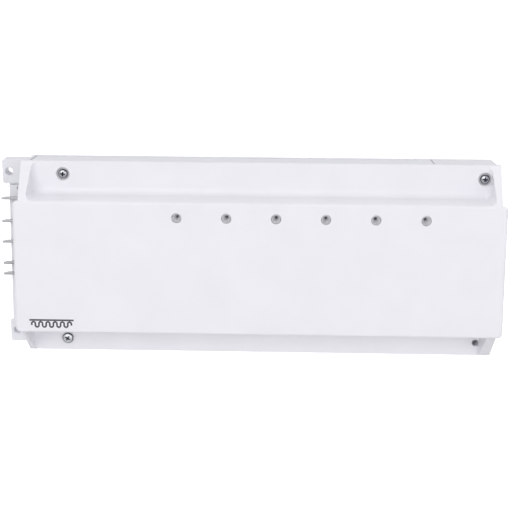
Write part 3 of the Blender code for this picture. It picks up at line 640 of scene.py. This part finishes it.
def make_screw(name, spot, head_radius, seat, turn, finish):
    """A pan-head self-tapping screw at an (x, z) spot, left at the given turn."""
    x, z = spot
    tip, thread = -SCREW_LENGTH, SCREW_SHANK_RADIUS
    under = [(0, tip), (0.35, tip + 0.15), (thread * 0.72, tip + 1.6)]
    for ridge in range(int((SCREW_LENGTH - 3.2) / THREAD_PITCH)):
        back = tip + 1.8 + ridge * THREAD_PITCH
        under += [(thread * 0.76, back), (thread, back + 0.42), (thread, back + 0.52),
                  (thread * 0.76, back + 0.95)]
    under += [(thread * 0.8, 0.0), (head_radius - 0.25, 0.0), (head_radius, 0.22)]
    dome = [(head_radius * cos(step * pi / 16), 0.55 + (HEAD_HEIGHT - 0.55) * sin(step * pi / 16))
            for step in range(8)]
    piece = Shape().turned([*under, *dome, (0, HEAD_HEIGHT)], (x, -seat, z)).solid(name + "_metal")
    cut_cross(piece, x, seat + HEAD_HEIGHT, z, head_radius * 0.6, turn)
    place(piece, "cover", finish, "zinc_steel", name)


def make_screws(finish):
    """Two screws sunk in wells above the panel, and one that stands proud below it."""
    for name, spot in SUNK_SCREWS.items():
        seat = LEDGE_DEPTH - WELL_DEPTH + GAP
        make_screw(name, spot, SUNK_HEAD_RADIUS, seat, 8, finish["sunk_head_painted_shade"])
    for name, spot in PROUD_SCREWS.items():
        seat = LEDGE_DEPTH + GAP
        make_screw(name, spot, PROUD_HEAD_RADIUS, seat, 33, finish["proud_head_recess_shade"])


# ---------------------------------------------------------------- housing

def housing_block():
    """The housing's outer form; its top and bottom walls open out towards the front."""
    def open_out(point):
        height = wall_height(-point.y)
        return Vector((point.x, point.y, height if point.z > 0 else -height))

    shape = Shape().box((-HALF_WIDTH, -RIM_DEPTH, -1), (HALF_WIDTH, 0, 1)).reshape(open_out)
    return shape.round_edges(lambda start, end: along_y(start, end) or on_plane(1, 0)(start, end),
                             2.0, 6)


def flange():
    """The block that guards the bus blades, between the two ears; its face leans with them."""
    upper, lower = [board_to_wall(FLANGE_FACE, height) for height in (FLANGE_TOP, FLANGE_BOTTOM)]
    slope = (upper[0] - lower[0]) / (upper[1] - lower[1])
    top_face = upper[0] + slope * (FLANGE_TOP - upper[1])
    bottom_face = upper[0] + slope * (FLANGE_BOTTOM - upper[1])
    top, bottom = FLANGE_TOP + 0.2, FLANGE_BOTTOM - 0.2
    shape = Shape().prism([(0, top), (top_face, top), (bottom_face, bottom), (0, bottom)],
                          FLANGE_LEFT, -HALF_WIDTH + 1.5)
    return shape.round_edges(lambda start, end: on_plane(0, FLANGE_LEFT)(start, end)
                             and min(start.y, end.y) < -1, 0.5, 3)


def ear(height):
    """A wall-fixing ear, before its hole is cut."""
    shape = Shape()
    shape.box((EAR_LEFT, -EAR_THICKNESS, height - EAR_HALF_HEIGHT),
              (-HALF_WIDTH + 1.5, 0, height + EAR_HALF_HEIGHT))
    shape.round_edges(lambda start, end: along_y(start, end) and start.x < EAR_LEFT + 1, 1.2, 5)
    return shape.round_edges(on_plane(1, -EAR_THICKNESS), 0.4, 3)


def board_posts():
    """Posts from the back wall to the circuit board, square to the board."""
    shape = Shape()
    for x, height in BOARD_POSTS:
        back = (1.5 + height * sin(TILT)) / cos(TILT)
        front = BOARD_DEPTH[0] - GAP
        shape.cylinder((x, -(back + front) / 2, height), "y", 3.0, front - back, 32)
    return shape.leaned()


def rail_channel(margin, depth, left, right):
    """The channel for the rail, or with a margin the block around it, inside the back wall."""
    back = -1 if margin else 1
    return Shape().box((left, -depth, RAIL_Z - RAIL_HALF - margin),
                       (right, back, RAIL_Z + RAIL_HALF + margin))


def catch_boxes(half_width, back, front, bottom, top):
    """A box at each rail catch."""
    shape = Shape()
    for x in CATCH_X:
        shape.box((x - half_width, -front, bottom), (x + half_width, back, top))
    return shape


def notches(wall, depth):
    """The notches for the next module's ears, or with a wall the blocks around them."""
    shape = Shape()
    for height in EAR_HEIGHTS:
        low = height - EAR_HALF_HEIGHT - 0.5 - wall
        high = height + EAR_HALF_HEIGHT + 0.5 + wall
        right, back = HALF_WIDTH + 2, 1
        if wall:
            low, high = max(low, -50.6), min(high, 50.6)
            right, back = HALF_WIDTH - 1.2, -1
        shape.box((HALF_WIDTH - 3.6 - wall, -depth, low), (right, back, high))
    return shape


def rail_hooks():
    """Lips that hold the rail's upper edge."""
    shape = Shape()
    top = RAIL_Z + RAIL_HALF
    for x in CATCH_X:
        shape.box((x - 8, -RAIL_LIP_DEPTH, top - 2.1), (x + 8, -2.0, top + 1.0))
    return shape


def screw_bores():
    """Bores in the housing's bosses; the one that has lost its screw shows its pilot hole."""
    shape = Shape()
    for x, z in SCREW_HOLES:
        radius = PILOT_RADIUS if (x, z) == EMPTY_HOLE else SCREW_HOLE_RADIUS
        shape.cylinder((x, -12, z), "y", radius, 16, 32)
    return shape


def board_pilots():
    """Holes for the two board screws."""
    shape = Shape()
    for x, height in BOARD_POSTS[:2]:
        shape.cylinder((x, -9.6, height), "y", 1.3, 5.2, 24)
    return shape.leaned()


def strip_windows():
    """Openings in the top and bottom walls for the cable entry strips."""
    left, right = STRIP_X[0] - GAP, STRIP_X[1] + GAP
    shape = Shape()
    shape.box((left, -30, 47), (right, -STRIP_BACK[1] + GAP, 54))
    shape.box((left, -30, -54), (right, -STRIP_BACK[-1] + GAP, -47))
    return shape


def housing_ribs():
    """Low ribs on the back wall between the board posts."""
    shape = Shape()
    for x in (-92.0, -40.0, -8.0, 24.0, 56.0, 90.0):
        shape.box((x - 0.5, -4.0, 2.0), (x + 0.5, -1.0, 40.0))
    return shape


def wall_holes():
    """Screw holes in the ears and in the back wall, with broken front edges."""
    shape = Shape()
    profile = hole_profile(EAR_HOLE_RADIUS, 0.25, 2)
    for height in EAR_HEIGHTS:
        merge_into(shape, Shape().turned(profile, (EAR_HOLE_X, -EAR_THICKNESS, height)))
        shape.cylinder((INNER_HOLE_X, -2, height), "y", EAR_HOLE_RADIUS, 8)
    return shape


def blade_windows(left, right, spare):
    """Slots in an end wall for the bus blades, with room to spare around each."""
    shape = Shape()
    reach, half = BLADE_WIDTH / 2 + spare, BLADE_THICKNESS / 2 + spare
    for height in BLADE_HEIGHTS:
        shape.box((left, -BLADE_DEPTH - reach, height - half),
                  (right, -BLADE_DEPTH + reach, height + half))
    return shape.leaned()


def housing_hollow():
    """The space inside the housing's walls."""
    return Shape().box((-SIDE_INNER, -30, -TOP_INNER), (SIDE_INNER, -WALL, TOP_INNER))


def flange_hollow():
    """The space behind the flange, open to the wall."""
    return Shape().box((-134.0, -6.2, -2.5), (-126.5, 1, 35.2))


def flange_marks():
    """The groove under the upper ear and the round pocket below it."""
    shape = Shape().box((-137, -13, FLANGE_TOP - 0.95), (-125.6, -6.6, FLANGE_TOP - 0.3))
    return shape.cylinder((-130.5, -10, 34.2), "y", 1.2, 6, 32)


def make_housing(finish):
    """The rear housing, with its flange, ears, posts and rail channel."""
    housing = housing_block().solid("housing_shell")
    cut(housing, housing_hollow())
    soften(housing, 0.35, 2, 60, on_plane(1, -RIM_DEPTH))
    add(housing, flange())
    add(housing, ear(EAR_HEIGHTS[0]))
    add(housing, ear(EAR_HEIGHTS[1]))
    add(housing, rail_channel(1.6, RAIL_DEPTH + 1.6, -SIDE_INNER - 1, SIDE_INNER + 1))
    add(housing, notches(1.6, EAR_THICKNESS + 2.0))
    add(housing, screw_cylinders(BOSS_RADIUS, BOSS_SPLIT_DEPTH - GAP, 1))
    add(housing, board_posts())
    add(housing, housing_ribs())
    add(housing, catch_boxes(10.4, -1, 8.7, -BACK_HALF_HEIGHT + 0.6, -41.0))
    cut(housing, rail_channel(0.0, RAIL_DEPTH, -150, 150))
    cut(housing, catch_boxes(CATCH_HALF_WIDTH + GAP, 1, 4.2, -56, -41.5))
    cut(housing, catch_boxes(CATCH_FLANGE_HALF_WIDTH + GAP, -3.7, 6.8, -56, -41.5))
    add(housing, rail_hooks())
    cut(housing, notches(0.0, EAR_THICKNESS + 0.4))
    cut(housing, wall_holes())
    cut(housing, screw_bores())
    cut(housing, board_pilots())
    cut(housing, strip_windows())
    cut(housing, blade_windows(-128, -121, 0.5))
    cut(housing, blade_windows(121, 128, 0.7))
    cut(housing, flange_hollow())
    cut(housing, flange_marks())
    place(housing, "housing", finish["housing"], "housing_plastic", "rear_housing")


def make_strip(name, side, finish):
    """A cable entry strip with thin knock-outs."""
    back, front = STRIP_BACK[side], RIM_DEPTH - 0.1
    outer = [(-depth, side * wall_height(depth, STRIP_SINK)) for depth in (back, front)]
    inner = [(-depth, side * wall_height(depth, STRIP_SINK + STRIP_THICKNESS))
             for depth in (front, back)]
    strip = Shape().prism(outer + inner, *STRIP_X).solid(name + "_body")
    soften(strip, 0.25, 3)
    pockets = Shape()
    pitch = (STRIP_X[1] - STRIP_X[0]) / KNOCKOUTS
    low, high = sorted((side * 45.0, side * wall_height(back, STRIP_SINK + KNOCKOUT_MEMBRANE)))
    for index in range(KNOCKOUTS):
        x = STRIP_X[0] + pitch * (index + 0.5)
        pockets.box((x - KNOCKOUT_WIDTH / 2, -front + KNOCKOUT_MARGIN, low),
                    (x + KNOCKOUT_WIDTH / 2, -back - KNOCKOUT_MARGIN, high))
    pockets.round_edges(lambda start, end: abs(start.z - end.z) > 1, 0.8, 4)
    cut(strip, pockets)
    place(strip, "housing", finish["strip"], "strip_plastic", name)


# ---------------------------------------------------------------- electronics

def keep_cad_shape(finish):
    """Pieces whose CAD shape is right, with their sharp edges rounded."""
    zones = range(1, 7)
    terminals = [f"{kind}_terminal_{zone}" for kind in ("thermostat", "actuator") for zone in zones]
    looks = [(terminals, "green", "green_polyamide", 0.25),
             (["supply_terminal", "pump_terminal"], "grey", "grey_polyamide", 0.3),
             (["transformer"], "black", "black_epoxy", 1.0),
             (["pump_relay", "boiler_relay"], "blue", "blue_case", 0.6),
             (["filter_capacitor"], "yellow", "film_case", 0.9),
             (["varistor"], "blue", "blue_case", 0.8),
             (["smoothing_capacitor"], "black", "black_epoxy", 0.6),
             (["fuse_holder"], "black", "black_epoxy", 0.25),
             (["microcontroller"], "black", "black_epoxy", 0.15),
             (["bus_header", "bus_socket"], "black", "black_epoxy", 0.2),
             ([f"zone_triac_{zone}" for zone in zones], "black", "black_epoxy", 0.3),
             (["selector_switch"], "zinc", "zinc_steel", 0.2),
             (["pairing_switch"], "black", "black_epoxy", 0.2),
             (["board_screw_1", "board_screw_2"], "zinc", "zinc_steel", 0.15),
             (["circuit_board"], "board", "board_laminate", 0.15),
             (["fuse"], "glass", "fuse_glass", 0.2)]
    for names, look, slot, edge in looks:
        for name in names:
            place(refined(name, edge), "housing", finish[look], slot, name)
    for index in range(1, 6):
        name = f"bus_blade_{index}"
        place(refined(name, 0.14, 25, 3), "housing", finish["tin"], "tinned_brass", name)
    for body, look, slot in (("selector_knob", "black", "black_epoxy"),
                             ("pairing_button", "acetal", "grey_acetal"),
                             ("rail_catch_left", "acetal", "grey_acetal"),
                             ("rail_catch_right", "acetal", "grey_acetal")):
        place(refined(body, 0.25, 40, 3), body, finish[look], slot, body)


def make_zone_lamps(finish):
    """Domed 3 mm lamps on the board."""
    dome = [(1.5 * cos(step * pi / 16), 1.3 + 1.5 * sin(step * pi / 16)) for step in range(8)]
    profile = [(0, 0), (1.75, 0), (1.75, 0.5), (1.5, 0.6), *dome, (0, 2.8)]
    for zone, x in enumerate(ZONE_X, 1):
        shape = Shape().turned(profile, (x, -SEAT, LAMP_HEIGHT), 32).leaned()
        lamp = shape.solid(f"zone_lamp_{zone}_epoxy")
        place(lamp, "housing", finish["red"], "red_epoxy", f"zone_lamp_{zone}")


def make_light_guide(finish):
    """A clear bar whose rods carry the lamps' light to the holes in the panel.

    The rods end in deep dimples, and each dimple's floor holds a dark disc: painted shade in front
    of the unlit lamp.
    """
    depth = panel_span()[0]
    bar = Shape().box((ZONE_X[0] - 4, -GUIDE_BAR[1], LAMP_HEIGHT - 2),
                      (ZONE_X[-1] + 4, -GUIDE_BAR[0], LAMP_HEIGHT + 2))
    bar.round_edges(lambda start, end: abs(start.x - end.x) > 50, 0.4, 3)
    piece = bar.leaned().solid("light_guide_clear")
    middle = sum(GUIDE_BAR) / 2
    add(piece, lamp_cylinders(1.75, middle, SEAT + 3.1))
    tips, shade_discs = Shape(), Shape()
    tip, radius = depth - GUIDE_TIP_DEPTH, GUIDE_TIP_RADIUS
    mouth, floor, deep = GUIDE_DIMPLE
    root = middle - tip
    profile = [(0, root), (radius, root), (radius, -6.0), (radius + 0.26, -2.9),
               (radius + 0.22, -1.2), (radius + 0.12, -0.1), (radius + 0.07, 0), (mouth, 0),
               (floor, -deep), (0, -deep)]
    for x in ZONE_X:
        merge_into(tips, Shape().turned(profile, (x, -tip, LAMP_HEIGHT)))
        # a dark disc at each dimple's floor: painted shade
        shade_discs.cylinder((x, -tip + deep - 0.06, LAMP_HEIGHT), "y", floor - 0.03, 0.1, 24)
    add(piece, tips.leaned())
    # the frosted finish glows a little: painted light
    place(piece, "housing", finish["lens"], "clear_acrylic", "light_guide")
    place(shade_discs.leaned().solid("painted_shade_discs"), "housing", finish["dimple_shade"], "clear_acrylic")


def terminal_rows():
    """Centre x, poles, pitch, rear height, body height, body depth and side of each terminal.

    The side is 1 where the wires enter from above and -1 where they enter from below.
    """
    for x in ZONE_X:
        yield x + 12.7, 4, POLE_PITCH, 16.5, 11.0, 12.0, 1
        yield x, 4, POLE_PITCH, -21.5, 11.0, 12.0, -1
    yield -99.6, 3, MAINS_PITCH, -20.0, 12.5, 15.5, -1
    yield -70.0, 4, MAINS_PITCH, -20.0, 12.5, 15.5, -1


def make_terminal_metal(finish):
    """Clamp screws in their wells and the wire cages in the mouths."""
    screws, slots, cages, bores = Shape(), Shape(), Shape(), Shape()
    for centre, poles, pitch, rear, tall, deep, side in terminal_rows():
        radius = pitch * 0.32 - 0.12
        for pole in range(poles):
            x = centre + (pole - (poles - 1) / 2) * pitch
            height = rear + side * tall * 0.42
            top = SEAT + deep - 0.7
            profile = [(0, -1.5), (radius, -1.5), (radius, -0.2), (radius - 0.2, 0), (0, 0)]
            merge_into(screws, Shape().turned(profile, (x, -top, height), 24))
            slot = Shape().box((-radius - 0.2, -0.9, -0.17), (radius + 0.2, 0.55, 0.17))
            angle = radians((pole * 47 + int(centre) * 13) % 180)
            spot = Matrix.Translation((x, -top, height)) @ Matrix.Rotation(angle, 4, "Y")
            bmesh.ops.transform(slot.mesh, verts=slot.mesh.verts, matrix=spot)
            merge_into(slots, slot)
            mouth = rear + side * tall
            low, high = sorted((mouth - side * 1.0, mouth - side * 5.6))
            outer = pitch * 0.33 - 0.15
            inner = outer - 0.35
            cages.box((x - outer, -SEAT - 5.4, low), (x + outer, -SEAT - 1.8, high))
            bores.box((x - inner, -SEAT - 5.0, low - 1), (x + inner, -SEAT - 2.2, high + 1))
    heads = screws.leaned().solid("terminal_screws")
    cut(heads, slots.leaned())
    place(heads, "housing", finish["zinc"], "zinc_steel")
    boxes = cages.leaned().solid("terminal_cages")
    cut(boxes, bores.leaned())
    place(boxes, "housing", finish["tin"], "tinned_brass")


def make_small_parts(finish):
    """Chip resistors and capacitors, component legs and fuse caps."""
    bodies, ends = Shape(), Shape()
    chips = [(x + dx, height) for x in ZONE_X for dx, height in CHIPS_OF_A_ZONE]
    for x, height in chips:
        bodies.box((x - 0.55, -SEAT - 0.55, height - 0.6), (x + 0.55, -SEAT, height + 0.6))
        for side in (-1, 1):
            low, high = sorted((height + side * 0.62, height + side * 0.95))
            ends.box((x - 0.58, -SEAT - 0.58, low), (x + 0.58, -SEAT, high))
    for x in CONTROLLER_LEGS:
        for height in (-9.4, 5.4):
            ends.box((x - 0.2, -SEAT - 0.35, height - 0.9), (x + 0.2, -SEAT, height + 0.9))
    place(bodies.leaned().solid("chip_bodies"), "housing", finish["ceramic"], "black_epoxy")
    for x in ZONE_X:
        for leg in (-2.54, 0, 2.54):
            ends.box((x + leg - 0.4, -SEAT - 1.3, -12.7), (x + leg + 0.4, -SEAT, -12.35))
    place(ends.leaned().solid("soldered_ends"), "housing", finish["tin"], "zinc_steel")
    caps = Shape()
    for x in (-108.4, -93.6):
        caps.cylinder((x, -SEAT - 6.5, -13), "x", 2.62, 4.6, 32)
    piece = caps.leaned().solid("fuse_caps")
    soften(piece, 0.25, 2)
    place(piece, "housing", finish["tin"], "fuse_glass")


def ribbon(points, width, front, thickness):
    """A flat printed line through (x, height) points on a plane parallel to the board."""
    shape = Shape()
    rings = []
    for index, (x, height) in enumerate(points):
        before, after = points[max(index - 1, 0)], points[min(index + 1, len(points) - 1)]
        way = Vector((after[0] - before[0], after[1] - before[1])).normalized() * width / 2
        left, right = (x - way.y, height + way.x), (x + way.y, height - way.x)
        rings.append([shape.mesh.verts.new(corner) for corner in (
            (left[0], -front - thickness, left[1]), (right[0], -front - thickness, right[1]),
            (right[0], -front + thickness, right[1]), (left[0], -front + thickness, left[1]))])
    for ring, following in zip(rings, rings[1:]):
        for corner in range(4):
            along = (corner + 1) % 4
            shape.mesh.faces.new((ring[corner], ring[along], following[along], following[corner]))
    shape.mesh.faces.new(rings[0][::-1])
    shape.mesh.faces.new(rings[-1])
    return shape


def make_pictogram(finish):
    """A generic printed sign for floor heating: a looped pipe under a floor line."""
    depth, bottom, _ = panel_span()
    low = bottom + SIGN_BASE
    high = low + PIPE_STRAIGHT
    pipe = []
    for leg in range(PIPE_LEGS):
        x = SIGN_LEFT + 2 * PIPE_LOOP * leg
        side = 1 if leg % 2 == 0 else -1
        start, end = (low, high)[::side]
        pipe += [(x, start), (x, end)]
        if leg < PIPE_LEGS - 1:
            pipe += [(x + PIPE_LOOP * (1 - cos(step * pi / 8)),
                      end + side * PIPE_LOOP * sin(step * pi / 8)) for step in range(1, 8)]
    sign = ribbon(pipe, SIGN_PEN, depth, SIGN_INK)
    right, bar = pipe[-1][0] + 1.2, high + 2 * PIPE_LOOP
    merge_into(sign, ribbon([(SIGN_LEFT - 1.2, bar), (right, bar)], SIGN_PEN, depth, SIGN_INK))
    place(sign.leaned().solid("floor_heating_sign"), "cover", finish["ink"], "cover_plastic")


# ---------------------------------------------------------------- studio

def make_floor():
    """A wide pale disc well below the part, which hangs on a wall in use.

    It is brightest behind the part.
    """
    mesh = bmesh.new()
    bmesh.ops.create_circle(mesh, cap_ends=True, radius=FLOOR_RADIUS, segments=96)
    data = bpy.data.meshes.new("floor")
    mesh.to_mesh(data)
    mesh.free()
    floor = bpy.data.objects.new("floor", data)
    floor.location.z = FLOOR_Z
    bpy.context.scene.collection.objects.link(floor)
    paper = Finish("white_paper", (0.80, 0.80, 0.81), 0.9)
    paper.tone(paper.spread(paper.noise(60.0, 3.0), 0.0, 1.0), (0.78, 0.78, 0.79))
    paper.shader.inputs["Emission Color"].default_value = (1, 1, 1, 1)
    split = paper.node("ShaderNodeSeparateXYZ")
    paper.link(paper.coordinates(), split, "Vector")
    glow = paper.spread(split.outputs["Y"], *FLOOR_GLOW, *FLOOR_GLOW_Y)
    paper.link(glow, paper.shader, "Emission Strength")
    data.materials.append(paper.material)


def make_world():
    """A white sky that is brighter at the horizon than high up."""
    world = bpy.data.worlds.new("pale_studio")
    world.use_nodes = True
    nodes, links = world.node_tree.nodes, world.node_tree.links
    background = nodes["Background"]
    background.inputs["Color"].default_value = (1.0, 1.0, 1.0, 1.0)
    direction = nodes.new("ShaderNodeTexCoord")
    split = nodes.new("ShaderNodeSeparateXYZ")
    fade = nodes.new("ShaderNodeMapRange")
    set_range(fade, 0.0, 0.6, *SKY)
    links.new(direction.outputs["Generated"], split.inputs["Vector"])
    links.new(split.outputs["Z"], fade.inputs["Value"])
    links.new(fade.outputs["Result"], background.inputs["Strength"])
    bpy.context.scene.world = world


def soft_light(name, spot, size, power, color=(1, 1, 1)):
    """A large area light, aimed at the part."""
    data = bpy.data.lights.new(name, "AREA")
    data.shape = "RECTANGLE"
    data.size, data.size_y = size
    data.energy = power
    data.color = color
    light = bpy.data.objects.new(name, data)
    light.location = spot
    light.rotation_euler = (-Vector(spot)).to_track_quat("-Z", "Y").to_euler()
    bpy.context.scene.collection.objects.link(light)


def make_lights():
    """A key light from the upper left, a weaker fill from the right and a broad one overhead."""
    soft_light("key", (-0.45, -1.6, 0.75), (1.2, 1.0), 10.3)
    soft_light("fill", (0.9, -1.5, 0.2), (1.2, 1.2), 4.2, (0.96, 0.96, 1.0))
    soft_light("overhead", (0.0, 0.35, 1.5), (2.0, 1.6), 10.5, (0.97, 0.97, 1.0))


def make_camera():
    """The photograph's view: from the front, a little above, with a slight turn."""
    data = bpy.data.cameras.new("camera")
    data.lens, data.sensor_width = LENS, SENSOR
    data.clip_start, data.clip_end = 0.01, 20.0
    camera = bpy.data.objects.new("camera", data)
    turn = (Matrix.Rotation(CAMERA_YAW, 4, "Z") @ Matrix.Rotation(pi / 2 + CAMERA_PITCH, 4, "X")
            @ Matrix.Rotation(CAMERA_ROLL, 4, "Z"))
    camera.matrix_world = Matrix.Translation(CAMERA_SPOT) @ turn
    bpy.context.scene.collection.objects.link(camera)
    bpy.context.scene.camera = camera


def main():
    make_camera()
    finish = make_finishes()
    make_cover(finish)
    make_screws(finish)
    make_housing(finish)
    make_strip("top_entry_strip", 1, finish)
    make_strip("bottom_entry_strip", -1, finish)
    keep_cad_shape(finish)
    make_zone_lamps(finish)
    make_light_guide(finish)
    make_terminal_metal(finish)
    make_small_parts(finish)
    make_pictogram(finish)
    make_floor()
    make_world()
    make_lights()
    bpy.context.scene.view_settings.view_transform = "Standard"


main()
